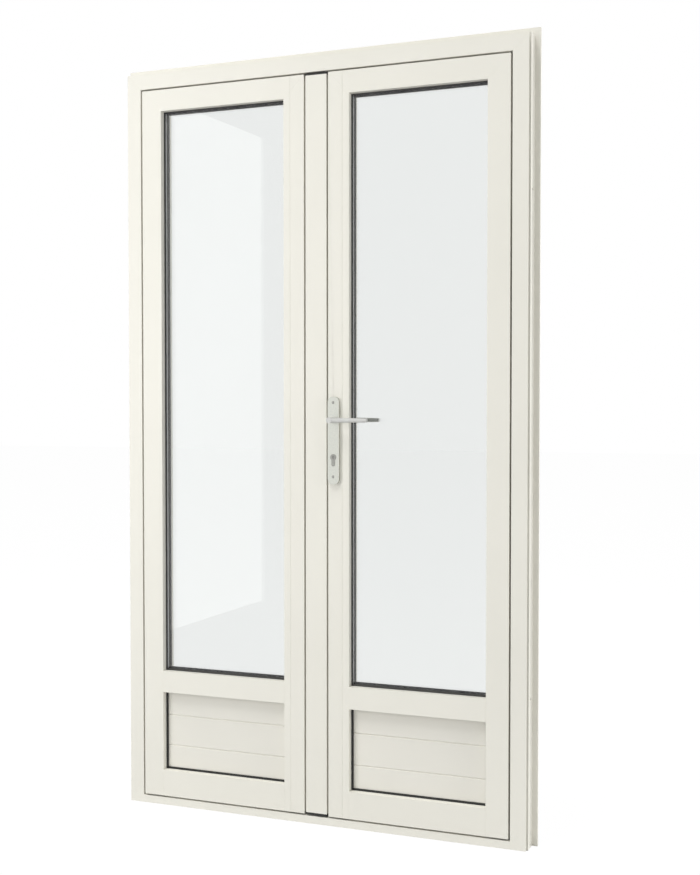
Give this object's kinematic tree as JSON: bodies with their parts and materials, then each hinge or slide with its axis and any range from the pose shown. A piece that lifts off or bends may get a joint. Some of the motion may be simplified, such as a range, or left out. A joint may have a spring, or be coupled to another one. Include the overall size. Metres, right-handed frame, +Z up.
{
  "type": "double glazed door",
  "caption": "Two-leaf inward-opening glazed aluminium door in its frame, with lower board panels, flush centre strip, lever handle on a long plate and profile cylinder.",
  "frame": {"origin": "middle of the threshold's underside", "axes": "+X right seen from outside, +Y indoors, +Z up"},
  "size_m": [1.24, 0.1508, 2.175],
  "materials": {
    "white_paint": "satin powder coat",
    "black_rubber": "matt",
    "black_plastic": "matt",
    "glass": "clear float",
    "silver_handle": "satin anodised",
    "steel": "zinc plated"
  },
  "bodies": {
    "frame": {"jamb_left": "white_paint", "jamb_right": "white_paint", "head": "white_paint", "threshold": "white_paint", "flush_keeps": "steel", "hinge_frame_left": "white_paint", "hinge_frame_right": "white_paint", "hinge_pins": "steel"},
    "left_leaf": {"left_hinge_stile": "white_paint", "left_meeting_stile": "white_paint", "left_top_rail": "white_paint", "left_mid_rail": "white_paint", "left_bottom_rail": "white_paint", "left_pane_outer": "glass", "left_pane_inner": "glass", "left_spacer": "steel", "left_glass_gasket_outer": "black_rubber", "left_glass_gasket_inner": "black_rubber", "left_glass_beads": "white_paint", "left_panel": "white_paint", "left_panel_gasket_outer": "black_rubber", "left_panel_gasket_inner": "black_rubber", "left_panel_beads": "white_paint", "left_lip_gasket": "black_rubber", "left_bottom_seal": "black_rubber", "left_hinges": "white_paint", "centre_strip": "white_paint", "strip_cap_top": "black_plastic", "strip_cap_bottom": "black_plastic", "bolt_keeps": "steel"},
    "right_leaf": {"right_hinge_stile": "white_paint", "right_meeting_stile": "white_paint", "right_top_rail": "white_paint", "right_mid_rail": "white_paint", "right_bottom_rail": "white_paint", "right_pane_outer": "glass", "right_pane_inner": "glass", "right_spacer": "steel", "right_glass_gasket_outer": "black_rubber", "right_glass_gasket_inner": "black_rubber", "right_glass_beads": "white_paint", "right_panel": "white_paint", "right_panel_gasket_outer": "black_rubber", "right_panel_gasket_inner": "black_rubber", "right_panel_beads": "white_paint", "right_lip_gasket": "black_rubber", "right_bottom_seal": "black_rubber", "right_hinges": "white_paint", "lock_case": "steel", "lock_faceplate": "steel", "plate_outer": "silver_handle", "plate_inner": "silver_handle", "cylinder": "silver_handle"},
    "flush_bolt_top": {"flush_bolt_top": "steel"},
    "flush_bolt_bottom": {"flush_bolt_bottom": "steel"},
    "plug": {"cylinder_plug": "steel"},
    "levers": {"lever_outer": "silver_handle", "lever_inner": "silver_handle", "spindle": "steel"},
    "bolts": {"lock_bolts": "steel"}
  },
  "joints": [
    {"name": "right_leaf_swing", "type": "hinge", "parent": "frame", "child": "right_leaf", "pos_m": [0.574, 0.0445, 0], "axis": [0, 0, -1], "range_deg": [0, 110]},
    {"name": "left_leaf_swing", "type": "hinge", "parent": "frame", "child": "left_leaf", "pos_m": [-0.574, 0.0445, 0], "axis": [0, 0, 1], "range_deg": [0, 110]},
    {"name": "lever_turn", "type": "hinge", "parent": "right_leaf", "child": "levers", "pos_m": [0.055, 0, 1.14], "axis": [0, -1, 0], "range_deg": [0, 45]},
    {"name": "bolt_throw", "type": "slide", "parent": "right_leaf", "child": "bolts", "axis": [-1, 0, 0], "range_m": [0, 0.02]},
    {"name": "plug_turn", "type": "hinge", "parent": "right_leaf", "child": "plug", "pos_m": [0.055, 0, 1.037], "axis": [0, 1, 0], "continuous": true},
    {"name": "flush_bolt_top_slide", "type": "slide", "parent": "left_leaf", "child": "flush_bolt_top", "axis": [0, 0, 1], "range_m": [0, 0.016]},
    {"name": "flush_bolt_bottom_slide", "type": "slide", "parent": "left_leaf", "child": "flush_bolt_bottom", "axis": [0, 0, -1], "range_m": [0, 0.016]}
  ],
  "couplings": [
    {"joint": "bolt_throw", "follows": "lever_turn", "m_per_rad": 0.02546}
  ]
}
